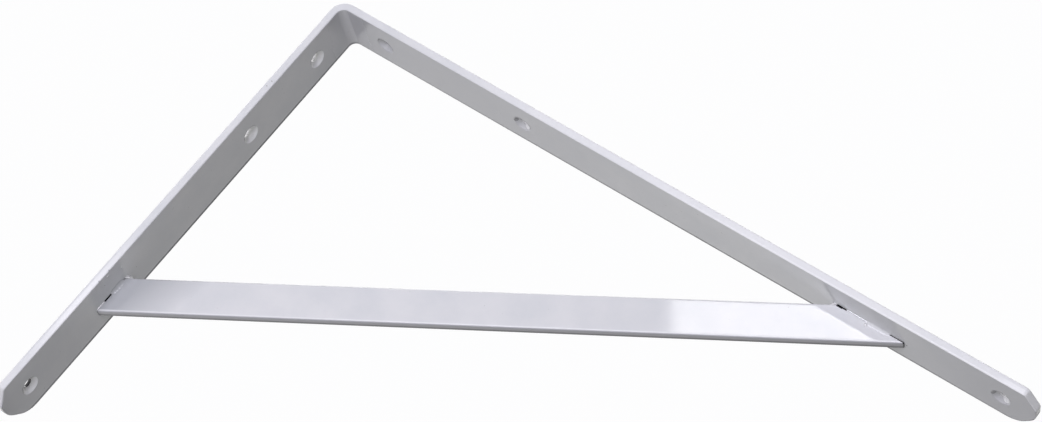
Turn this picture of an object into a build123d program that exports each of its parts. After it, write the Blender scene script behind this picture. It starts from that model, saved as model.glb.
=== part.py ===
from build123d import *
import os
from math import atan2, cos, hypot, sin

# A welded steel shelf bracket: a flat bar bent into an L, and a narrower flat bar as its brace.
# The origin is the corner where the wall plane (x = 0) and the shelf plane (z = 0) cross, at mid-width.
# +X runs out from the wall under the shelf, +Z is up, and the front of the bracket looks along -Y.
# All sizes are in millimetres.

# Angle strap
STRAP_WIDTH = 30.0
STRAP_THICKNESS = 4.0
STRAP_EDGE_ROUND = 0.6
BEND_INSIDE_RADIUS = 4.0
WALL_ARM = 256.0
SHELF_ARM = 391.0

# Tips of the arms: the front corner is clipped straight, the back corner is ground rounder
FRONT_CLIP_ACROSS = 9.5
FRONT_CLIP_ALONG = 6.0
FRONT_CLIP_ROUND = 2.0
BACK_CLIP_ACROSS = 11.5
BACK_CLIP_ALONG = 9.0
BACK_CLIP_ROUND = 12.0

# Screw holes, countersunk on the inner faces; the first two of each arm are set out from the corner
SCREW_HOLE_DIAMETER = 5.0
COUNTERSINK_DIAMETER = 9.6
COUNTERSINK_ANGLE = 90.0
WALL_TOP_HOLE = 28.0
WALL_MIDDLE_HOLE = 79.0
SHELF_BACK_HOLE = 28.0
SHELF_MIDDLE_HOLE = 113.0
TIP_HOLE_INSET = 17.0

# Brace bar: its lower edge meets the arms' inner faces at these two distances from the corner
BRACE_WIDTH = 18.0
BRACE_THICKNESS = 5.0
BRACE_EDGE_ROUND = 0.8
BRACE_FOOT_DROP = 193.0
BRACE_HEAD_REACH = 326.0
BRACE_FRONT_FROM_MIDDLE = 0.0

# Welds: the root gap stays open at the mitred ends wherever no bead fills it
ROOT_GAP = 0.4
ROOT_DEPTH = 1.0
BEAD_CROWN = 0.12  # share of a bead's leg that its face bulges by
BEAD_TAPER = 2.5
BEAD_END_SHARE = 0.35
BACK_BEAD_LEG = 2.4
TOP_BEAD_LEG = 3.2
FOOT_FRONT_BEAD_LEG = 2.0
FOOT_FRONT_BEAD = 9.5
FOOT_BACK_BEAD = 17.0
HEAD_FRONT_BEAD_LEG = 1.2
HEAD_FRONT_BEAD_START = 14.0
HEAD_FRONT_BEAD = 12.0
HEAD_BACK_BEAD = 28.0

# Worked out from the sizes above
half_width = STRAP_WIDTH / 2
bend_outside_radius = BEND_INSIDE_RADIUS + STRAP_THICKNESS
brace_rise = BRACE_FOOT_DROP - STRAP_THICKNESS
brace_reach = BRACE_HEAD_REACH - STRAP_THICKNESS
brace_angle = atan2(brace_rise, brace_reach)
brace_front = BRACE_FRONT_FROM_MIDDLE
brace_back = brace_front + BRACE_THICKNESS
foot_top = -BRACE_FOOT_DROP + BRACE_WIDTH / cos(brace_angle)
head_top = BRACE_HEAD_REACH - BRACE_WIDTH / sin(brace_angle)

wall_inner_face = Plane(origin=(STRAP_THICKNESS, 0, 0), x_dir=(0, 1, 0), z_dir=(1, 0, 0))
shelf_inner_face = Plane(origin=(0, 0, -STRAP_THICKNESS), x_dir=(1, 0, 0), z_dir=(0, 0, -1))
wall_tip = Plane(origin=(0, 0, -WALL_ARM), x_dir=(0, 1, 0), z_dir=(-1, 0, 0))
shelf_tip = Plane(origin=(SHELF_ARM, 0, 0), x_dir=(0, 1, 0), z_dir=(0, 0, -1))


def tip_waste(plane):
    """What is trimmed off an arm's square end: x runs across the bar, y runs out past the tip."""
    start = -(FRONT_CLIP_ALONG + BACK_CLIP_ALONG + BACK_CLIP_ROUND)
    with BuildSketch(plane) as waste:
        with BuildLine():
            nose = FilletPolyline(
                (-half_width, start),
                (-half_width, -FRONT_CLIP_ALONG),
                (-half_width + FRONT_CLIP_ACROSS, 0),
                (half_width - BACK_CLIP_ACROSS, 0),
                (half_width, -BACK_CLIP_ALONG),
                (half_width, start),
                radius=[FRONT_CLIP_ROUND, FRONT_CLIP_ROUND, BACK_CLIP_ROUND, BACK_CLIP_ROUND],
            )
            Polyline(
                nose @ 1,
                (STRAP_WIDTH, start),
                (STRAP_WIDTH, STRAP_WIDTH),
                (-STRAP_WIDTH, STRAP_WIDTH),
                (-STRAP_WIDTH, start),
                nose @ 0,
            )
        make_face()
    return waste.sketch


# The bent bar, seen from its edge and drawn out to its width
with BuildPart() as angle_strap:
    with BuildSketch(Plane.XZ) as side_view:
        with BuildLine():
            outside = FilletPolyline(
                (0, -WALL_ARM), (0, 0), (SHELF_ARM, 0), radius=bend_outside_radius
            )
            inside = FilletPolyline(
                (SHELF_ARM, -STRAP_THICKNESS),
                (STRAP_THICKNESS, -STRAP_THICKNESS),
                (STRAP_THICKNESS, -WALL_ARM),
                radius=BEND_INSIDE_RADIUS,
            )
            Line(outside @ 1, inside @ 0)
            Line(inside @ 1, outside @ 0)
        make_face()
    extrude(amount=half_width, both=True)
    for tip in (wall_tip, shelf_tip):
        extrude(tip_waste(tip), amount=2 * STRAP_THICKNESS, both=True, mode=Mode.SUBTRACT)
    # Every long edge and tip edge is eased; the seams across the thickness and the bend are not edges
    seams = (STRAP_THICKNESS, STRAP_WIDTH)
    eased = angle_strap.edges().filter_by(lambda e: all(abs(e.length - s) > 0.001 for s in seams))
    fillet(eased, STRAP_EDGE_ROUND)
    wall_holes = [(0, -WALL_TOP_HOLE), (0, -WALL_MIDDLE_HOLE), (0, TIP_HOLE_INSET - WALL_ARM)]
    shelf_holes = [(SHELF_BACK_HOLE, 0), (SHELF_MIDDLE_HOLE, 0), (SHELF_ARM - TIP_HOLE_INSET, 0)]
    for inner_face, holes in ((wall_inner_face, wall_holes), (shelf_inner_face, shelf_holes)):
        with Locations(inner_face):
            with Locations(*holes):
                CounterSinkHole(
                    radius=SCREW_HOLE_DIAMETER / 2,
                    counter_sink_radius=COUNTERSINK_DIAMETER / 2,
                    depth=2 * STRAP_THICKNESS,
                    counter_sink_angle=COUNTERSINK_ANGLE,
                )

# The brace: a length of rolled bar along its lower edge, mitred to the two arms
brace_start = Plane(
    origin=(STRAP_THICKNESS, brace_front, -BRACE_FOOT_DROP),
    x_dir=(0, 1, 0),
    z_dir=(cos(brace_angle), 0, sin(brace_angle)),
)
with BuildPart() as brace_bar:
    with BuildSketch(brace_start) as bar_section:
        with Locations((BRACE_THICKNESS / 2, BRACE_WIDTH / 2)):
            RectangleRounded(BRACE_THICKNESS, BRACE_WIDTH, BRACE_EDGE_ROUND)
    extrude(amount=hypot(brace_rise, brace_reach))
    split(bisect_by=wall_inner_face.offset(ROOT_GAP), keep=Keep.TOP)
    split(bisect_by=shelf_inner_face.offset(ROOT_GAP), keep=Keep.TOP)


def side_bead(start, length, full_leg):
    """A fillet bead in the corner between an arm and a broad face of the brace, thinner at its ends.

    start is the plane of its first section: x leaves the arm, y leaves the brace, z runs along.
    """
    with BuildPart() as bead:
        for along, share in (
            (0, BEAD_END_SHARE),
            (BEAD_TAPER, 1),
            (length - BEAD_TAPER, 1),
            (length, BEAD_END_SHARE),
        ):
            leg = full_leg * share
            with BuildSketch(start.offset(along)):
                with BuildLine():
                    crown = SagittaArc((ROOT_GAP + leg, 0), (0, leg), -BEAD_CROWN * leg)
                    Polyline(
                        crown @ 1, (0, -ROOT_DEPTH), (ROOT_GAP, -ROOT_DEPTH), (ROOT_GAP, 0), crown @ 0
                    )
                make_face()
        loft(ruled=True)
    return bead


def top_bead(corner, arm_toe, brace_toe, crown):
    """A bead across the brace's upper edge, in the sharp corner that the edge makes with an arm."""
    with BuildPart() as bead:
        with BuildSketch(Plane.XZ.offset(-brace_front - BRACE_EDGE_ROUND)):
            with BuildLine():
                face = SagittaArc(arm_toe, brace_toe, crown)
                Polyline(face @ 1, corner, face @ 0)
            make_face()
        extrude(amount=2 * BRACE_EDGE_ROUND - BRACE_THICKNESS)
    return bead


# Foot of the brace, on the wall arm
foot_round = BRACE_EDGE_ROUND / cos(brace_angle)
foot_top_weld = top_bead(
    corner=(STRAP_THICKNESS, foot_top),
    arm_toe=(STRAP_THICKNESS, foot_top + TOP_BEAD_LEG),
    brace_toe=(
        STRAP_THICKNESS + TOP_BEAD_LEG * cos(brace_angle),
        foot_top + TOP_BEAD_LEG * sin(brace_angle),
    ),
    crown=BEAD_CROWN * TOP_BEAD_LEG,
)
foot_front_weld = side_bead(
    Plane(origin=(STRAP_THICKNESS, brace_front, foot_top - foot_round), x_dir=(1, 0, 0), z_dir=(0, 0, -1)),
    FOOT_FRONT_BEAD,
    FOOT_FRONT_BEAD_LEG,
)
foot_back_weld = side_bead(
    Plane(
        origin=(STRAP_THICKNESS, brace_back, foot_top - foot_round - FOOT_BACK_BEAD),
        x_dir=(1, 0, 0),
        z_dir=(0, 0, 1),
    ),
    FOOT_BACK_BEAD,
    BACK_BEAD_LEG,
)

# Head of the brace, on the shelf arm
head_round = BRACE_EDGE_ROUND / sin(brace_angle)
head_top_weld = top_bead(
    corner=(head_top, -STRAP_THICKNESS),
    arm_toe=(head_top - TOP_BEAD_LEG, -STRAP_THICKNESS),
    brace_toe=(
        head_top - TOP_BEAD_LEG * cos(brace_angle),
        -STRAP_THICKNESS - TOP_BEAD_LEG * sin(brace_angle),
    ),
    crown=-BEAD_CROWN * TOP_BEAD_LEG,
)
head_front_weld = side_bead(
    Plane(
        origin=(
            head_top + head_round + HEAD_FRONT_BEAD_START + HEAD_FRONT_BEAD,
            brace_front,
            -STRAP_THICKNESS,
        ),
        x_dir=(0, 0, -1),
        z_dir=(-1, 0, 0),
    ),
    HEAD_FRONT_BEAD,
    HEAD_FRONT_BEAD_LEG,
)
head_back_weld = side_bead(
    Plane(origin=(head_top + head_round, brace_back, -STRAP_THICKNESS), x_dir=(0, 0, -1), z_dir=(1, 0, 0)),
    HEAD_BACK_BEAD,
    BACK_BEAD_LEG,
)

pieces = {
    "angle_strap": angle_strap,
    "brace_bar": brace_bar,
    "foot_top_weld": foot_top_weld,
    "foot_front_weld": foot_front_weld,
    "foot_back_weld": foot_back_weld,
    "head_top_weld": head_top_weld,
    "head_front_weld": head_front_weld,
    "head_back_weld": head_back_weld,
}
os.makedirs("parts", exist_ok=True)
for name, piece in pieces.items():
    piece.part.label = name
    export_step(piece.part, f"parts/{name}.step")
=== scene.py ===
"""Looks for the welded shelf bracket: gloss white paint over flat bar, its weld beads, and a studio stage.

Everything is in metres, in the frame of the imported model: the wall plane is x = 0, the shelf plane is
z = 0, and the front of the bracket looks along -Y.
"""

import math

import bmesh
import bpy
from mathutils import Matrix, Vector, noise


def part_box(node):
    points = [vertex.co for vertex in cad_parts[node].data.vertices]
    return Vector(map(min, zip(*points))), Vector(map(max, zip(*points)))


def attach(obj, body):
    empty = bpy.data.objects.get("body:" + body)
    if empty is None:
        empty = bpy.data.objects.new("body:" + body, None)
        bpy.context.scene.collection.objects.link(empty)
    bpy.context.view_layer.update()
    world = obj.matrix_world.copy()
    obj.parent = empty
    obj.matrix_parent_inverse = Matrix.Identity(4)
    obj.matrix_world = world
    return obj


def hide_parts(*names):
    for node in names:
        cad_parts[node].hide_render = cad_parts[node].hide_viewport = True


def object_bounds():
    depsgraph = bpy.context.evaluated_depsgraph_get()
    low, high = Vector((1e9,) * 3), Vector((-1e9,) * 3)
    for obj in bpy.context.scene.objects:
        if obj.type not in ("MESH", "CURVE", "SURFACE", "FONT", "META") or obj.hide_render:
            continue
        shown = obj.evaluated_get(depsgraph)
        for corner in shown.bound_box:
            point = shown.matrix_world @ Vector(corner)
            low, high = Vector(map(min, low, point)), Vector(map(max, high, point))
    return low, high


bl_info = {
    "name": "Shelf bracket finish",
    "version": (1, 0, 0),
    "blender": (4, 5, 0),
    "location": "3D View > Sidebar > Bracket",
    "description": "Paints the flat-bar shelf bracket, lays its weld beads and sets the studio stage",
    "category": "Object",
}

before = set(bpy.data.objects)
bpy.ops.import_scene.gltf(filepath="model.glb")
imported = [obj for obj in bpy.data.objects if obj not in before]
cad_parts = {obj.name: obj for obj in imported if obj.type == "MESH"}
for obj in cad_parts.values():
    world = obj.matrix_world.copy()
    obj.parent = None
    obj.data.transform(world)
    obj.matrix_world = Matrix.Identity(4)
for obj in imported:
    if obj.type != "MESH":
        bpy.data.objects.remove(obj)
cad_low, cad_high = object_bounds()

MM = 0.001
WHITE = (0.985, 0.985, 0.99)
STRAP = "angle_strap"
BRACE = "brace_bar"
strap_low, strap_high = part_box(STRAP)
brace_low, brace_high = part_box(BRACE)

# The inner faces of the two arms stand one root gap off the mitred ends of the brace
ROOT_GAP = 0.4 * MM
wall_inner = brace_low.x - ROOT_GAP
shelf_inner = brace_high.z + ROOT_GAP
brace_run = Vector((brace_high.x - brace_low.x, 0, brace_high.z - brace_low.z)).normalized()

# Where the screw holes stand: z on the wall arm, and x on the shelf arm
WALL_HOLES = (-28.0 * MM, -79.0 * MM, -239.0 * MM)
SHELF_HOLES = (28.0 * MM, 113.0 * MM, 374.0 * MM)

LEFT = Vector((-1, 0, 0))
RIGHT = Vector((1, 0, 0))
FRONT = Vector((0, -1, 0))
BACK = Vector((0, 1, 0))
UP = Vector((0, 0, 1))
DOWN = Vector((0, 0, -1))


class BracketPaintSettings(bpy.types.PropertyGroup):
    """The gloss paint on the bars and welds, and the shade and highlights painted into its colour"""

    paint_color: bpy.props.FloatVectorProperty(
        name="Paint", description="Colour of the enamel", subtype="COLOR", default=(0.79, 0.79, 0.785)
    )
    drift_color: bpy.props.FloatVectorProperty(
        name="Colour drift",
        description="Colour towards which the enamel drifts in broad patches",
        subtype="COLOR",
        default=(0.72, 0.73, 0.735),
    )
    speck_color: bpy.props.FloatVectorProperty(
        name="Specks", description="Grit caught in the enamel", subtype="COLOR", default=(0.42, 0.41, 0.39)
    )
    # Painted shade: this colour stands for the shade that the wall arm casts over the brace's foot
    foot_shade_color: bpy.props.FloatVectorProperty(
        name="Foot of the brace",
        description="Colour of the brace where the heat of the foot weld greyed it under the enamel",
        subtype="COLOR",
        default=(0.47, 0.48, 0.49),
    )
    # Painted shade under the brace, in the bend, on the inner faces towards the bend, the tip and below the
    # foot, and in the shelf arm's countersinks; the same colour marks two chips in the near edge
    shade_and_chip_color: bpy.props.FloatVectorProperty(
        name="Thin paint",
        description="Colour under the brace, in the bend and towards the tips, where little enamel reached",
        subtype="COLOR",
        default=(0.53, 0.53, 0.55),
    )
    # Painted shade, dark: along the back edges of the inner faces, under the brace towards its back, and in
    # a spot by the rim of the shelf arm's outer countersinks; the same colour marks a dark spot beside the
    # brace's head
    dark_shade_and_spot_color: bpy.props.FloatVectorProperty(
        name="Thinnest paint",
        description="Colour along the back edges and in small pits, where hardly any enamel stayed",
        subtype="COLOR",
        default=(0.2, 0.2, 0.21),
    )
    # Painted highlight: along the brace's lower front corner, in the wall arm's countersinks, in the shelf
    # arm's outer bores, along stretches of the near edge and on the shelf tip's front clip
    highlight_color: bpy.props.FloatVectorProperty(
        name="Thick paint",
        description="Colour in the countersinks and along the near edge, where the enamel pooled",
        subtype="COLOR",
        default=(0.97, 0.97, 0.96),
    )
    # Painted shade, near black: down in the root gaps, in the two open cracks and in the wall arm's lowest
    # bore
    gap_shade_color: bpy.props.FloatVectorProperty(
        name="Bare steel",
        description="Colour down in the root gaps and the lowest screw hole, where no enamel reached",
        subtype="COLOR",
        default=(0.03, 0.03, 0.035),
    )
    polish: bpy.props.FloatProperty(
        name="Roughness", description="Least roughness of the enamel", default=0.05, min=0.0, max=1.0
    )
    peel_size: bpy.props.FloatProperty(
        name="Peel size",
        description="Distance between the dimples of the sprayed enamel",
        subtype="DISTANCE",
        unit="LENGTH",
        default=2.2 * MM,
    )
    peel_depth: bpy.props.FloatProperty(
        name="Peel depth",
        description="Depth of the dimples of the sprayed enamel",
        subtype="DISTANCE",
        unit="LENGTH",
        default=0.003 * MM,
        precision=6,
    )
    edge_softness: bpy.props.FloatProperty(
        name="Edge softness",
        description="How wide the paint rounds over the edges of the bar",
        subtype="DISTANCE",
        unit="LENGTH",
        default=0.9 * MM,
        precision=6,
    )
    sway_depth: bpy.props.FloatProperty(
        name="Bar sway",
        description="How far the rolled faces swell and dip over a few centimetres",
        subtype="DISTANCE",
        unit="LENGTH",
        default=0.05 * MM,
        precision=6,
    )


class BracketWeldSettings(bpy.types.PropertyGroup):
    """The beads that hold the brace"""

    ripple_pitch: bpy.props.FloatProperty(
        name="Ripple pitch",
        description="Distance between the ripples of a bead",
        subtype="DISTANCE",
        unit="LENGTH",
        default=1.7 * MM,
    )
    ripple_depth: bpy.props.FloatProperty(
        name="Ripple depth",
        description="Height of the ripples under the paint",
        subtype="DISTANCE",
        unit="LENGTH",
        default=0.12 * MM,
        precision=6,
    )
    lump_depth: bpy.props.FloatProperty(
        name="Lumps",
        description="How unevenly the bead swells along its length",
        subtype="DISTANCE",
        unit="LENGTH",
        default=0.35 * MM,
        precision=6,
    )


class BracketStageSettings(bpy.types.PropertyGroup):
    """The floor, lights and camera"""

    floor_color: bpy.props.FloatVectorProperty(
        name="Floor", description="Colour of the floor", subtype="COLOR", default=(0.55, 0.55, 0.55)
    )
    floor_lift: bpy.props.FloatProperty(
        name="Floor lift", description="How much paler the floor looks than its light makes it", default=0.62
    )
    surround_level: bpy.props.FloatProperty(
        name="Surround", description="Level of the even light from all round", default=0.12, min=0.0
    )
    window_level: bpy.props.FloatProperty(
        name="Window", description="Brightness of the panel that shines in the brace", default=7.2, min=0.0
    )
    front_level: bpy.props.FloatProperty(
        name="Front", description="Brightness of the panel before the bracket", default=5.7, min=0.0
    )
    top_level: bpy.props.FloatProperty(
        name="Top", description="Brightness of the panel above the wall side", default=4.2, min=0.0
    )
    rear_level: bpy.props.FloatProperty(
        name="Rear", description="Brightness of the panel behind the bracket", default=2.4, min=0.0
    )
    lens: bpy.props.FloatProperty(
        name="Lens", description="Focal length on a 36 mm wide sensor, in millimetres", default=82.16
    )


def add_node(tree, kind, place, **values):
    """Adds a shader node, and sets its own sockets by name."""
    node = tree.nodes.new(kind)
    node.location = place
    for socket, value in values.items():
        node.inputs[socket.replace("_", " ")].default_value = value
    return node


def combine(tree, operation, first, second):
    """Joins two sockets, or a socket and a number, with a math node, and returns the result's socket."""
    node = tree.nodes.new("ShaderNodeMath")
    node.operation = operation
    tree.links.new(first, node.inputs[0])
    if isinstance(second, float):
        node.inputs[1].default_value = second
    else:
        tree.links.new(second, node.inputs[1])
    return node.outputs[0]


def texture(tree, place, row, **shape):
    """Noise that is fixed to the bracket. row is where its node stands in the editor."""
    node = add_node(tree, "ShaderNodeTexNoise", (-1000, row), **shape)
    tree.links.new(place, node.inputs["Vector"])
    return node.outputs["Fac"]


def ramp(tree, level, row, **limits):
    """Stretches a level from one pair of limits to another, 0 and 1 unless they are given."""
    node = add_node(tree, "ShaderNodeMapRange", (-800, row), **limits)
    tree.links.new(level, node.inputs["Value"])
    return node.outputs["Result"]


class EnamelMarks:
    """Plain colours laid over the enamel, each inside masks that are measured in the bracket's frame"""

    def __init__(self, tree, place, color):
        self.tree = tree
        self.place = place
        self.color = color

    def measure(self, operation, point):
        """Compares each place on the surface with a point or a direction."""
        node = self.tree.nodes.new("ShaderNodeVectorMath")
        node.operation = operation
        node.inputs[1].default_value = point
        self.tree.links.new(self.place, node.inputs[0])
        return node.outputs

    def past(self, direction, start, end):
        """Rises from 0 to 1 between two distances from the origin, measured in one direction."""
        distance = self.measure("DOT_PRODUCT", direction)["Value"]
        return ramp(self.tree, distance, 600, From_Min=start, From_Max=end)

    def near(self, centre, radius):
        """1 within a radius of a point, and 0 outside it."""
        return combine(self.tree, "LESS_THAN", self.measure("DISTANCE", centre)["Value"], radius)

    def inside(self, low, high):
        """1 inside the box between two corners, and 0 outside it."""
        across = self.tree.nodes.new("ShaderNodeVectorMath")
        across.operation = "ABSOLUTE"
        self.tree.links.new(self.measure("SUBTRACT", (low + high) / 2)["Vector"], across.inputs[0])
        parts = self.tree.nodes.new("ShaderNodeSeparateXYZ")
        self.tree.links.new(across.outputs["Vector"], parts.inputs[0])
        half = (high - low) / 2
        return self.all_of(*(combine(self.tree, "LESS_THAN", parts.outputs[i], half[i]) for i in range(3)))

    def join(self, operation, first, *others):
        """Joins any number of masks with one operation."""
        for other in others:
            first = combine(self.tree, operation, first, other)
        return first

    def all_of(self, *masks):
        """1 only where every mask is 1. A number after the masks scales the result."""
        return self.join("MULTIPLY", *masks)

    def any_of(self, *masks):
        """1 where at least one of the masks is 1."""
        return self.join("MAXIMUM", *masks)

    def lay(self, patch, *masks):
        """Lays a colour where every mask is 1. A number after the masks is the share that it covers."""
        mix = self.tree.nodes.new("ShaderNodeMix")
        mix.data_type = "RGBA"
        mix.inputs[7].default_value = (*patch, 1)
        self.tree.links.new(self.all_of(*masks), mix.inputs[0])
        self.tree.links.new(self.color, mix.inputs[6])
        self.color = mix.outputs[2]


def in_bend(marks):
    """1 in the bend and 0 along the arms; it leaves out the front edge."""
    to_corner = marks.past(Vector((-0.7071, 0, 0.7071)), -34 * MM, -7 * MM)
    off_edge = marks.past(BACK, strap_low.y + 0.2 * MM, strap_low.y + 0.6 * MM)
    return marks.all_of(to_corner, off_edge)


def mark_grit(marks, paint):
    """Specks of grit caught in the enamel."""
    grit = texture(marks.tree, marks.place, 0, Scale=620.0, Detail=2.0, Roughness=0.5)
    marks.lay(paint.speck_color, ramp(marks.tree, grit, 0, From_Min=0.74, From_Max=0.80))


def mark_brace(marks, paint):
    """The painted shade on the brace's foot, and on its lower edge a painted highlight along the corner and
    painted shade underneath.
    """
    # The box takes in the brace and the beads on its faces, and stops just short of the arms
    below_arms = 0.98 * ROOT_GAP
    bead_room = 2.5 * MM
    skin = 0.1 * MM
    on_brace = marks.inside(
        Vector((brace_low.x - below_arms, brace_low.y - bead_room, brace_low.z - skin)),
        Vector((brace_high.x + skin, brace_high.y + bead_room, brace_high.z + below_arms)),
    )
    # The painted shade fades along a line that leans across the brace, and the second ramp keeps it off the
    # bend
    away_from_foot = Vector((0.968, 0, -0.252))
    near_foot = marks.past(away_from_foot, 78.3 * MM, 57.3 * MM)
    off_bend = marks.past(DOWN, 90 * MM, 91 * MM)
    marks.lay(paint.foot_shade_color, near_foot, off_bend, on_brace)

    # A painted highlight along the lower front corner, painted shade under it, and darker painted shade
    # towards the back
    downward = Vector((brace_run.z, 0, -brace_run.x))
    underside = Vector((brace_low.x, 0, brace_low.z)).dot(downward)
    lower_corner = marks.past(downward, underside - 1.2 * MM, underside - 0.8 * MM)
    marks.lay(paint.highlight_color, lower_corner, on_brace, 0.6)
    below = marks.past(downward, underside - 0.5 * MM, underside - 0.2 * MM)
    marks.lay(paint.shade_and_chip_color, below, on_brace)
    to_back = marks.past(BACK, 2.2 * MM, 3.4 * MM)
    marks.lay(paint.dark_shade_and_spot_color, below, on_brace, to_back)


def mark_inner_faces(marks, paint):
    """Painted shade on the arms' inner faces: dark along the back edge, greyer in the bend and towards the
    ends.
    """
    along_back = [marks.past(BACK, strap_high.y - 2.1 * MM, strap_high.y - 1.4 * MM)]
    for inward, depth in ((RIGHT, wall_inner), (DOWN, -shelf_inner)):
        along_back.append(marks.past(inward, depth / 2, depth / 2 + 0.2 * MM))
    marks.lay(paint.dark_shade_and_spot_color, *along_back)
    marks.lay(paint.shade_and_chip_color, in_bend(marks), 0.5)

    # Painted shade on the shelf arm's inner face towards the bend and the tip, and on the wall arm's below
    # the foot
    towards_bend = marks.past(RIGHT, 220 * MM, 60 * MM)
    towards_tip = marks.past(RIGHT, 290 * MM, 370 * MM)
    shelf_face = marks.inside(Vector((6.0, -14.6, -4.1)) * MM, Vector((395.0, 16.0, -3.8)) * MM)
    marks.lay(paint.shade_and_chip_color, marks.any_of(towards_bend, towards_tip), shelf_face, 0.7)
    below_foot = marks.past(DOWN, 192 * MM, 212 * MM)
    wall_face = marks.inside(Vector((3.8, -14.6, -260.0)) * MM, Vector((4.1, 16.0, -190.0)) * MM)
    marks.lay(paint.shade_and_chip_color, below_foot, wall_face, 0.3)


def mark_holes(marks, paint):
    """Painted highlights and painted shade in the screw holes."""
    # Spheres of these sizes take in a countersink from its rim, and a bore from just inside its outer end
    cone_reach = 4.75 * MM
    bore_reach = 2.75 * MM
    bore_depth = 0.6 * MM
    # A painted highlight in the wall arm's countersinks, and near-black painted shade in the lowest bore
    # there
    for height in WALL_HOLES:
        marks.lay(paint.highlight_color, marks.near(Vector((wall_inner, 0, height)), cone_reach))
    shaded_bore = Vector((bore_depth, 0, WALL_HOLES[-1]))
    marks.lay(paint.gap_shade_color, marks.near(shaded_bore, bore_reach))
    # Painted shade in the shelf arm's countersinks. In the outer two, the bore and one side of the cone get
    # a painted highlight, and a spot by the rim gets dark painted shade
    for reach in SHELF_HOLES:
        marks.lay(paint.shade_and_chip_color, marks.near(Vector((reach, 0, shelf_inner)), cone_reach), 0.45)
    for reach in SHELF_HOLES[1:]:
        highlit_bore = Vector((reach, 0, -bore_depth))
        marks.lay(paint.highlight_color, marks.near(highlit_bore, bore_reach))
        highlit_side = Vector((reach + 1.8 * MM, 1.8 * MM, -2.2 * MM))
        marks.lay(paint.highlight_color, marks.near(highlit_side, 2.0 * MM))
        shaded_spot = Vector((reach - 4.0 * MM, 0, -3.6 * MM))
        marks.lay(paint.dark_shade_and_spot_color, marks.near(shaded_spot, 1.3 * MM), 0.7)


def mark_near_edge(marks, paint):
    """Painted highlights along the strap's near edge and on the shelf tip's front clip, two chips in the
    near edge and a dark spot.
    """
    beside_foot = marks.all_of(
        marks.past(DOWN, 150 * MM, 190 * MM),
        marks.past(UP, -240 * MM, -205 * MM),
        marks.past(RIGHT, 0.9 * MM, 1.6 * MM),
    )
    shelf_edge = marks.all_of(marks.past(RIGHT, 40 * MM, 140 * MM), 0.45)
    inner_corner = marks.all_of(
        marks.past(RIGHT, 110 * MM, 240 * MM),
        marks.past(DOWN, 2.9 * MM, 3.4 * MM),
    )
    shelf_tip = marks.all_of(
        marks.past(RIGHT, 364 * MM, 377 * MM),
        marks.past(DOWN, 1.2 * MM, 1.9 * MM),
    )
    # Painted highlights along these stretches of the near edge and on the front clip
    runs = marks.any_of(beside_foot, shelf_edge, inner_corner, shelf_tip)
    near_edge = marks.past(FRONT, -strap_low.y - 0.7 * MM, -strap_low.y - 0.4 * MM)
    towards_clip = Vector((0.845, -0.534, 0))
    front_clip = marks.past(towards_clip, 332.8 * MM, 333.1 * MM)
    marks.lay(paint.highlight_color, marks.any_of(marks.all_of(runs, near_edge), front_clip))

    # Two nicks in the wall arm's near edge, and a dark spot beside the brace's head
    chips = (
        (Vector((4.0, -14.9, -184.0)) * MM, paint.shade_and_chip_color),
        (Vector((4.0, -14.9, -177.0)) * MM, paint.shade_and_chip_color),
        (Vector((326.3, 1.6, -4.0)) * MM, paint.dark_shade_and_spot_color),
    )
    for centre, chip_color in chips:
        marks.lay(chip_color, marks.near(centre, 0.5 * MM))


def mark_root_gaps(marks, paint):
    """Painted shade, near black, down in the root gaps, and in the two cracks that stay open in front."""
    skin = 0.25 * MM
    gaps = (
        (
            Vector((wall_inner - skin, brace_low.y + skin, -192.5 * MM)),
            Vector((brace_low.x + skin, brace_high.y - skin, -173.0 * MM)),
        ),
        (
            Vector((290.5 * MM, brace_low.y + skin, brace_high.z - skin)),
            Vector((325.2 * MM, brace_high.y - skin, shelf_inner + skin)),
        ),
    )
    # The cracks are wider than the rest of the root gap
    cracks = (
        (Vector((3.9, -0.35, -186.8)) * MM, Vector((4.6, 4.8, -182.2)) * MM),
        (Vector((290.3, -0.35, -4.95)) * MM, Vector((293.3, 4.8, -3.9)) * MM),
        (Vector((293.3, -0.1, -4.6)) * MM, Vector((295.6, 4.8, -3.9)) * MM),
    )
    for low, high in gaps + cracks:
        marks.lay(paint.gap_shade_color, marks.inside(low, high))


def drifting_color(tree, place, paint):
    """The enamel's own colour, which drifts in broad patches."""
    drift = texture(tree, place, 300, Scale=38.0, Detail=5.0, Roughness=0.6)
    mix = tree.nodes.new("ShaderNodeMix")
    mix.data_type = "RGBA"
    mix.inputs[6].default_value = (*paint.paint_color, 1)
    mix.inputs[7].default_value = (*paint.drift_color, 1)
    tree.links.new(ramp(tree, drift, 300, From_Min=0.35, From_Max=0.7), mix.inputs[0])
    return mix.outputs[2]


def enamel_roughness(marks, paint):
    """A high gloss with slight smears, which is duller where the steel under it is rough."""
    smear_depth = 0.03
    smears = texture(marks.tree, marks.place, -300, Scale=55.0, Detail=6.0, Roughness=0.65)
    roughness = ramp(
        marks.tree,
        smears,
        -300,
        From_Min=0.4,
        From_Max=0.75,
        To_Min=paint.polish,
        To_Max=paint.polish + smear_depth,
    )
    # The sheared edges of the strap and its stretched bend shine less than its rolled faces
    dulling = 0.3
    sheared = marks.past(FRONT, -strap_low.y - 0.5 * MM, -strap_low.y - 0.2 * MM)
    for dull_part in (sheared, in_bend(marks)):
        roughness = combine(marks.tree, "ADD", roughness, marks.all_of(dull_part, dulling))
    return roughness


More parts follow.
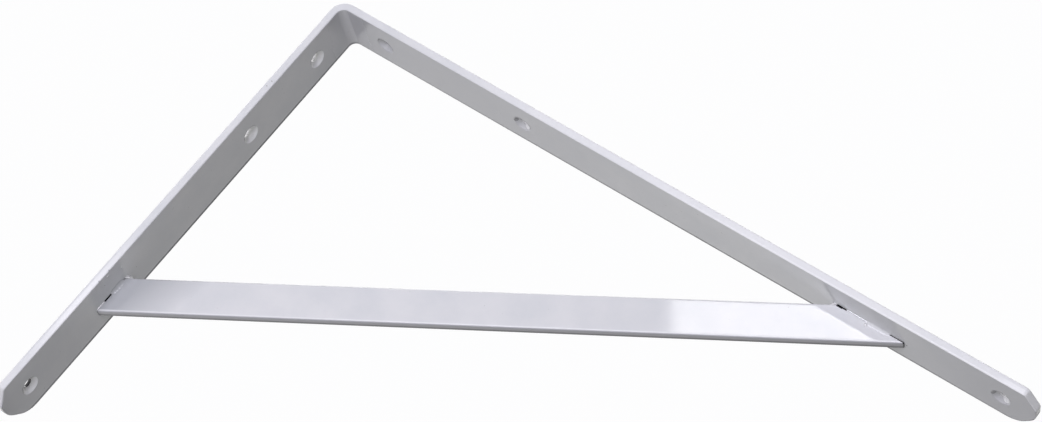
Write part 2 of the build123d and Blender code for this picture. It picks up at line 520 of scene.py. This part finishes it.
def enamel_relief(tree, place, paint, lumpy):
    """The normal of the paint over the sway of rolled bar, with its orange peel."""
    peel_scale = 1.0 / paint.peel_size
    layers = [
        (texture(tree, place, -600, Scale=26.0, Detail=1.0, Roughness=0.4), paint.sway_depth),
        (texture(tree, place, -850, Scale=peel_scale, Detail=2.0, Roughness=0.5), paint.peel_depth),
    ]
    normal = None
    if lumpy:
        layers.append((texture(tree, place, -1100, Scale=900.0, Detail=3.0), lumpy))
    else:
        soft_edge = tree.nodes.new("ShaderNodeBevel")
        soft_edge.samples = 6
        soft_edge.inputs["Radius"].default_value = paint.edge_softness
        normal = soft_edge.outputs["Normal"]
    for height, depth in layers:
        bump = add_node(tree, "ShaderNodeBump", (-400, -600), Distance=depth)
        tree.links.new(height, bump.inputs["Height"])
        if normal is not None:
            tree.links.new(normal, bump.inputs["Normal"])
        normal = bump.outputs["Normal"]
    return normal


def gloss_enamel(name, paint, lumpy=0.0):
    """Sprayed gloss enamel with all its marks, among them painted shade and painted highlights.

    lumpy is the depth of the fine lumps on the welds; the bars have none, and have softened edges.
    """
    material = bpy.data.materials.new(name)
    material.use_nodes = True
    tree = material.node_tree
    tree.nodes.clear()
    place = add_node(tree, "ShaderNodeTexCoord", (-1200, 0)).outputs["Object"]
    marks = EnamelMarks(tree, place, drifting_color(tree, place, paint))
    for lay_marks in (mark_grit, mark_brace, mark_inner_faces, mark_holes, mark_near_edge, mark_root_gaps):
        lay_marks(marks, paint)
    shader = add_node(tree, "ShaderNodeBsdfPrincipled", (0, 0), IOR=1.5)
    tree.links.new(marks.color, shader.inputs["Base Color"])
    tree.links.new(enamel_roughness(marks, paint), shader.inputs["Roughness"])
    tree.links.new(enamel_relief(tree, place, paint, lumpy), shader.inputs["Normal"])
    output = add_node(tree, "ShaderNodeOutputMaterial", (300, 0))
    tree.links.new(shader.outputs["BSDF"], output.inputs["Surface"])
    return material


def paint_piece(piece, material):
    """Gives a piece one material all over."""
    piece.data.materials.clear()
    piece.data.materials.append(material)


def new_piece(name, mesh_data, material):
    """Puts a smooth-shaded mesh in the scene, painted and riding on the bracket."""
    mesh = bpy.data.meshes.new(name)
    mesh_data.to_mesh(mesh)
    mesh_data.free()
    for face in mesh.polygons:
        face.use_smooth = True
    piece = bpy.data.objects.new(name, mesh)
    bpy.context.scene.collection.objects.link(piece)
    paint_piece(piece, material)
    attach(piece, "root")
    return piece


def bead_mesh(corner, along, length, arm_way, brace_way, legs, weld, seed, hollow=0.0, calm=1.0, fade=1.3):
    """One weld bead, laid along a corner between an arm and the brace.

    arm_way and brace_way point from the corner out to the bead's two toes, and legs are their distances.
    hollow is 1 for a face that flows into both bars, and fade is how many legs long each end tapers.
    """
    ring_pitch = 0.3 * MM
    blunt_end = 0.07
    lump_pitch = 3.2 * MM
    grain_pitch = 1.1 * MM
    grain_depth = 0.08 * MM
    ripple_bow = 0.55 * MM
    crown = 0.16
    root_depth = 0.35 * MM
    toe_count = 9
    mesh = bmesh.new()
    ring_count = max(8, round(length / ring_pitch))
    outward = (arm_way + brace_way).normalized()
    rings = []
    for i in range(ring_count + 1):
        run = i / ring_count
        from_end = min(run, 1 - run) * length
        round_off = min(1.0, from_end / (fade * legs[0]))
        swell = math.sqrt(max(0.0, 1 - (1 - round_off) ** 2)) * (1 - blunt_end) + blunt_end
        lump = noise.noise(Vector((seed * 7.3, run * length / lump_pitch, 0.0)))
        size = swell * (1 + calm * weld.lump_depth / legs[0] * lump)
        ring = []
        for j in range(toe_count):
            share = j / (toe_count - 1)
            arm_leg = arm_way * legs[0] * size
            brace_leg = brace_way * legs[1] * size
            flat = arm_leg * (1 - share) + brace_leg * share
            turn = share * math.pi / 2
            flowing = arm_leg * (1 - math.sin(turn)) + brace_leg * (1 - math.cos(turn))
            face = flat.lerp(flowing, hollow)
            belly = math.sin(math.pi * share)
            bow = ripple_bow * belly * calm
            phase = (run * length - bow) / weld.ripple_pitch
            ripple = calm * weld.ripple_depth * belly * math.cos(2 * math.pi * phase) * swell
            speck = Vector((run * length / grain_pitch, share * 3.0, seed * 3.1))
            grain = grain_depth * belly * noise.noise(speck) * swell
            lift = crown * (1 - hollow) * legs[0] * belly * size + ripple + grain * calm
            point = corner + along * (run * length) + face + outward * lift
            ring.append(mesh.verts.new(point))
        ring.append(mesh.verts.new(corner + along * (run * length) - outward * root_depth))
        rings.append(ring)
    for first, second in zip(rings, rings[1:]):
        for j in range(len(first)):
            k = (j + 1) % len(first)
            mesh.faces.new((first[j], first[k], second[k], second[j]))
    mesh.faces.new(rings[0][::-1])
    mesh.faces.new(rings[-1])
    bmesh.ops.recalc_face_normals(mesh, faces=mesh.faces)
    # The toes stay crisp, so that the sunk root doesn't tilt the shading of the face
    for first, second in zip(rings, rings[1:]):
        for toe in (0, toe_count - 1):
            mesh.edges.get((first[toe], second[toe])).smooth = False
    return mesh


def blob(mesh, centre, out, width, height, seed):
    """Adds a small flattened blob of spatter that is part sunk in the face it sits on."""
    dents = 0.22
    made = bmesh.ops.create_icosphere(mesh, subdivisions=2, radius=1.0)["verts"]
    turn = out.to_track_quat("Z", "Y")
    for vert in made:
        uneven = 1 + dents * noise.noise(vert.co * 1.3 + Vector((seed * 5.0, 0, 0)))
        shape = Vector((vert.co.x * width / 2, vert.co.y * width / 2, vert.co.z * height)) * uneven
        vert.co = centre + turn @ shape


class BRACKET_OT_paint_bars(bpy.types.Operator):
    """Paint the bent strap and the brace"""

    bl_idname = "bracket.paint_bars"
    bl_label = "Paint the bars"

    def execute(self, context):
        paint = context.scene.bracket_paint
        enamel = gloss_enamel("white_enamel", paint)
        for name in (STRAP, BRACE):
            paint_piece(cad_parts[name], enamel)
        return {"FINISHED"}


class BRACKET_OT_side_welds(bpy.types.Operator):
    """Lay the beads in front of and behind the brace"""

    bl_idname = "bracket.side_welds"
    bl_label = "Lay the side welds"

    def execute(self, context):
        weld = context.scene.bracket_weld
        enamel = gloss_enamel("painted_weld", context.scene.bracket_paint, lumpy=0.02 * MM)
        # The front beads are small and drowned in paint; the back ones show their ripples
        sides = (
            ("foot_front_weld", UP, RIGHT, FRONT, 1, 1.0, 0.25, 1.6),
            ("foot_back_weld", UP, RIGHT, BACK, 2, 0.0, 1.0, 1.3),
            ("head_front_weld", RIGHT, DOWN, FRONT, 3, 0.8, 0.4, 2.5),
            ("head_back_weld", RIGHT, DOWN, BACK, 4, 0.0, 1.0, 1.3),
        )
        for node, along, off_arm, off_brace, seed, hollow, calm, fade in sides:
            low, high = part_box(node)
            if off_brace is FRONT:
                face_y, toe_y = brace_low.y, low.y
            else:
                face_y, toe_y = brace_high.y, high.y
            corner = Vector((low.x, face_y, high.z))
            if along is UP:
                corner.z = low.z
            length = (high - low).dot(along)
            leg = abs(toe_y - face_y)
            legs = (leg, leg + ROOT_GAP)
            mesh = bead_mesh(corner, along, length, off_brace, off_arm, legs, weld, seed, hollow, calm, fade)
            piece = new_piece(node.replace("_weld", "_bead"), mesh, enamel)
            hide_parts(node)
        return {"FINISHED"}


class BRACKET_OT_top_welds(bpy.types.Operator):
    """Lay the beads across the brace's upper edge"""

    bl_idname = "bracket.top_welds"
    bl_label = "Lay the top welds"

    def execute(self, context):
        weld = context.scene.bracket_weld
        enamel = bpy.data.materials["painted_weld"]
        leg = 3.2 * MM
        overhang = 0.2 * MM
        low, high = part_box("foot_top_weld")
        foot_corner = Vector((low.x, brace_low.y - overhang, low.z))
        low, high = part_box("head_top_weld")
        head_corner = Vector((high.x, brace_low.y - overhang, high.z))
        length = brace_high.y - brace_low.y + 2 * overhang
        tops = (
            ("foot_top_weld", foot_corner, UP, brace_run, 5),
            ("head_top_weld", head_corner, LEFT, -brace_run, 6),
        )
        for node, corner, arm_way, brace_way, seed in tops:
            mesh = bead_mesh(corner, BACK, length, arm_way, brace_way, (leg, leg), weld, seed)
            piece = new_piece(node.replace("_weld", "_bead"), mesh, enamel)
            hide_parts(node)
        return {"FINISHED"}


class BRACKET_OT_paint_bridges(bpy.types.Operator):
    """Close the root gap with paint where the brace touches"""

    bl_idname = "bracket.paint_bridges"
    bl_label = "Bridge the gaps with paint"

    def execute(self, context):
        weld = context.scene.bracket_weld
        enamel = bpy.data.materials["painted_weld"]
        leg = 0.06 * MM
        legs = (leg, leg + ROOT_GAP)
        foot_end = Vector((wall_inner, brace_low.y, brace_low.z))
        head_crack_end = Vector((295.4 * MM, brace_low.y, shelf_inner))
        bridges = (
            ("foot_paint_bridge", foot_end, UP, 5.9 * MM, RIGHT, 7),
            ("head_paint_bridge", head_crack_end, RIGHT, 11.6 * MM, DOWN, 8),
        )
        for name, corner, along, length, brace_way, seed in bridges:
            mesh = bead_mesh(corner, along, length, FRONT, brace_way, legs, weld, seed, hollow=1.0, calm=0.1)
            new_piece(name, mesh, enamel)
        return {"FINISHED"}


class BRACKET_OT_weld_spatter(bpy.types.Operator):
    """Scatter the spatter that stuck beside the welds"""

    bl_idname = "bracket.weld_spatter"
    bl_label = "Scatter the spatter"

    def execute(self, context):
        enamel = bpy.data.materials["painted_weld"]
        spots = (
            (Vector((wall_inner, -12.4 * MM, -179.2 * MM)), RIGHT, 1.1, 0.35),
            (Vector((wall_inner, -8.6 * MM, -171.0 * MM)), RIGHT, 0.7, 0.2),
            (Vector((wall_inner, 10.8 * MM, -176.0 * MM)), RIGHT, 0.9, 0.3),
            (Vector((wall_inner, 12.6 * MM, -184.5 * MM)), RIGHT, 0.6, 0.2),
            (Vector((306.3 * MM, brace_low.y, -5.8 * MM)), FRONT, 1.7, 0.6),
            (Vector((301.0 * MM, 9.8 * MM, shelf_inner)), DOWN, 0.9, 0.3),
            (Vector((311.5 * MM, 11.6 * MM, shelf_inner)), DOWN, 0.7, 0.2),
        )
        mesh = bmesh.new()
        for seed, (centre, out, width, height) in enumerate(spots):
            blob(mesh, centre, out, width * MM, height * MM, seed)
        new_piece("weld_spatter", mesh, enamel)
        return {"FINISHED"}


def area_lamp(name, place, aim, size, radiance, turn=0.0):
    """A soft panel lamp that faces a point. Its power follows from its brightness and its size."""
    lamp = bpy.data.lights.new(name, "AREA")
    lamp.shape = "RECTANGLE"
    lamp.size, lamp.size_y = size
    lamp.energy = radiance * math.pi * size[0] * size[1]
    holder = bpy.data.objects.new(name, lamp)
    bpy.context.scene.collection.objects.link(holder)
    holder.visible_camera = False
    away = (place - aim).normalized()
    side = UP.cross(away).normalized()
    rise = away.cross(side)
    wide = side * math.cos(turn) + rise * math.sin(turn)
    tall = away.cross(wide)
    holder.matrix_world = Matrix.Translation(place) @ Matrix((wide, tall, away)).transposed().to_4x4()
    return holder


def seen_directly(tree):
    """1 where the stage is looked at, straight or in a reflection, and 0 where it only sheds light."""
    path = tree.nodes.new("ShaderNodeLightPath").outputs
    mirrored = combine(tree, "MAXIMUM", path["Is Glossy Ray"], path["Is Transmission Ray"])
    return combine(tree, "MAXIMUM", path["Is Camera Ray"], mirrored)


def white_surround(level):
    """A world that looks white, and lights the bracket evenly at a plain level."""
    world = bpy.data.worlds.new("surround")
    bpy.context.scene.world = world
    world.use_nodes = True
    tree = world.node_tree
    tree.nodes.clear()
    strength = add_node(tree, "ShaderNodeMapRange", (0, 0), To_Min=level, To_Max=1.0)
    tree.links.new(seen_directly(tree), strength.inputs["Value"])
    background = add_node(tree, "ShaderNodeBackground", (200, 0), Color=(*WHITE, 1))
    tree.links.new(strength.outputs["Result"], background.inputs["Strength"])
    output = tree.nodes.new("ShaderNodeOutputWorld")
    tree.links.new(background.outputs[0], output.inputs["Surface"])


def studio_floor(color, lift, height):
    """A pale floor that fades into the white surround, and that a camera below it looks through."""
    reach = 6.0
    mesh = bmesh.new()
    bmesh.ops.create_circle(mesh, cap_ends=True, segments=96, radius=reach)
    data = bpy.data.meshes.new("floor")
    mesh.to_mesh(data)
    mesh.free()
    floor = bpy.data.objects.new("floor", data)
    floor.location = (cad_high.x / 2, 0, height)
    bpy.context.scene.collection.objects.link(floor)
    material = bpy.data.materials.new("studio_floor")
    material.use_nodes = True
    tree = material.node_tree
    tree.nodes.clear()
    link = tree.links.new
    seen = seen_directly(tree)
    matt = add_node(tree, "ShaderNodeBsdfDiffuse", (0, 0), Color=(*color, 1))
    glow = add_node(tree, "ShaderNodeEmission", (0, -150), Color=(*WHITE, 1))
    link(combine(tree, "MULTIPLY", seen, lift), glow.inputs["Strength"])
    lifted = tree.nodes.new("ShaderNodeAddShader")
    link(matt.outputs[0], lifted.inputs[0])
    link(glow.outputs[0], lifted.inputs[1])
    white = add_node(tree, "ShaderNodeEmission", (0, -300), Color=(*WHITE, 1))
    place = add_node(tree, "ShaderNodeTexCoord", (-600, 0))
    distance = tree.nodes.new("ShaderNodeVectorMath")
    distance.operation = "LENGTH"
    link(place.outputs["Object"], distance.inputs[0])
    fade = add_node(tree, "ShaderNodeMapRange", (-200, 0), From_Min=0.6, From_Max=2.4)
    fade.interpolation_type = "SMOOTHSTEP"
    link(distance.outputs["Value"], fade.inputs["Value"])
    top = tree.nodes.new("ShaderNodeMixShader")
    link(combine(tree, "MULTIPLY", seen, fade.outputs["Result"]), top.inputs[0])
    link(lifted.outputs[0], top.inputs[1])
    link(white.outputs[0], top.inputs[2])
    clear = tree.nodes.new("ShaderNodeBsdfTransparent")
    side = tree.nodes.new("ShaderNodeNewGeometry")
    from_below = tree.nodes.new("ShaderNodeMixShader")
    link(side.outputs["Backfacing"], from_below.inputs[0])
    link(top.outputs[0], from_below.inputs[1])
    link(clear.outputs[0], from_below.inputs[2])
    output = tree.nodes.new("ShaderNodeOutputMaterial")
    link(from_below.outputs[0], output.inputs["Surface"])
    data.materials.append(material)
    floor.visible_shadow = False


def dark_card(place, width, height):
    """A dark card behind the bracket, seen only as the dark line that it draws along glossy far edges."""
    mesh = bmesh.new()
    bmesh.ops.create_grid(mesh, x_segments=1, y_segments=1, size=0.5)
    data = bpy.data.meshes.new("dark_card")
    mesh.to_mesh(data)
    mesh.free()
    card = bpy.data.objects.new("dark_card", data)
    card.location = place
    card.rotation_euler = (math.radians(90), 0, 0)
    card.scale = (width, height, 1)
    bpy.context.scene.collection.objects.link(card)
    material = bpy.data.materials.new("card_black")
    material.use_nodes = True
    shader = material.node_tree.nodes["Principled BSDF"]
    shader.inputs["Base Color"].default_value = (0.02, 0.02, 0.02, 1)
    shader.inputs["Roughness"].default_value = 0.9
    data.materials.append(material)
    card.visible_camera = False
    card.visible_diffuse = False
    card.visible_shadow = False
    card.visible_transmission = False


def photo_camera(lens):
    """The camera low in front of the bracket, beyond its tip, looking up along it and rolled."""
    eye = Vector((587.58, -943.64, -398.4)) * MM
    target = Vector((141.21, 0.0, -42.21)) * MM
    roll = math.radians(-39.259)
    ahead = (target - eye).normalized()
    level_right = ahead.cross(UP).normalized()
    level_down = ahead.cross(level_right)
    right = level_right * math.cos(roll) + level_down * math.sin(roll)
    above = right.cross(ahead)
    data = bpy.data.cameras.new("camera")
    data.sensor_fit = "HORIZONTAL"
    data.sensor_width = 36.0
    data.lens = lens
    data.clip_start = 0.01
    camera = bpy.data.objects.new("camera", data)
    bpy.context.scene.collection.objects.link(camera)
    camera.matrix_world = Matrix.Translation(eye) @ Matrix((right, above, -ahead)).transposed().to_4x4()
    bpy.context.scene.camera = camera


class BRACKET_OT_studio_stage(bpy.types.Operator):
    """Set the floor, the surround, the lamps and the camera"""

    bl_idname = "bracket.studio_stage"
    bl_label = "Set the stage"

    def execute(self, context):
        stage = context.scene.bracket_stage
        white_surround(stage.surround_level)
        floor_height = cad_low.z - 1.0 * MM
        studio_floor(stage.floor_color, stage.floor_lift, floor_height)
        middle = (cad_low + cad_high) / 2
        # The window's left edge is the bright edge that the photo shows in the brace
        window_size = Vector((0.26, 0.16))
        window_edge = Vector((-0.2342, -1.2379, 0.4096))
        window_across = Vector((0.8114, -0.0918, 0.5773))
        window_aim = Vector((0.3331, 0.8842, -0.3275))
        window_place = window_edge + window_across * window_size.x / 2
        window_turn = math.radians(37.66)
        window_target = window_place + window_aim
        area_lamp("window", window_place, window_target, window_size, stage.window_level, window_turn)
        cool_white = (0.885, 0.875, 1.0)
        front = area_lamp("front_fill", Vector((0.12, -1.6, -0.42)), middle, (1.1, 1.1), stage.front_level)
        front.data.color = cool_white
        area_lamp("top_fill", Vector((-1.3, -0.05, 1.2)), middle, (1.2, 1.2), stage.top_level)
        area_lamp("rear_fill", Vector((-0.6, 1.6, 0.7)), middle, (1.2, 1.2), stage.rear_level)
        dark_card(Vector((-0.12, 1.05, 0.15)), 1.25, 0.9)
        photo_camera(stage.lens)
        context.scene.view_settings.view_transform = "Standard"
        return {"FINISHED"}


class BRACKET_PT_sidebar(bpy.types.Panel):
    """Lists the steps and their settings"""

    bl_idname = "BRACKET_PT_sidebar"
    bl_label = "Shelf bracket"
    bl_space_type = "VIEW_3D"
    bl_region_type = "UI"
    bl_category = "Bracket"

    def draw(self, context):
        column = self.layout.column()
        for operator in OPERATORS:
            column.operator(operator.bl_idname)
        for group in SETTINGS:
            settings = getattr(context.scene, group)
            for name in settings.__annotations__:
                column.prop(settings, name)


OPERATORS = (
    BRACKET_OT_paint_bars,
    BRACKET_OT_side_welds,
    BRACKET_OT_top_welds,
    BRACKET_OT_paint_bridges,
    BRACKET_OT_weld_spatter,
    BRACKET_OT_studio_stage,
)
SETTINGS = {
    "bracket_paint": BracketPaintSettings,
    "bracket_weld": BracketWeldSettings,
    "bracket_stage": BracketStageSettings,
}


def register():
    for name, group in SETTINGS.items():
        bpy.utils.register_class(group)
        setattr(bpy.types.Scene, name, bpy.props.PointerProperty(type=group))
    for operator in OPERATORS:
        bpy.utils.register_class(operator)
    bpy.utils.register_class(BRACKET_PT_sidebar)


def unregister():
    bpy.utils.unregister_class(BRACKET_PT_sidebar)
    for operator in reversed(OPERATORS):
        bpy.utils.unregister_class(operator)
    for name, group in SETTINGS.items():
        delattr(bpy.types.Scene, name)
        bpy.utils.unregister_class(group)


def main():
    register()
    bpy.ops.bracket.paint_bars()
    bpy.ops.bracket.side_welds()
    bpy.ops.bracket.top_welds()
    bpy.ops.bracket.paint_bridges()
    bpy.ops.bracket.weld_spatter()
    bpy.ops.bracket.studio_stage()


if __name__ == "__main__":
    main()
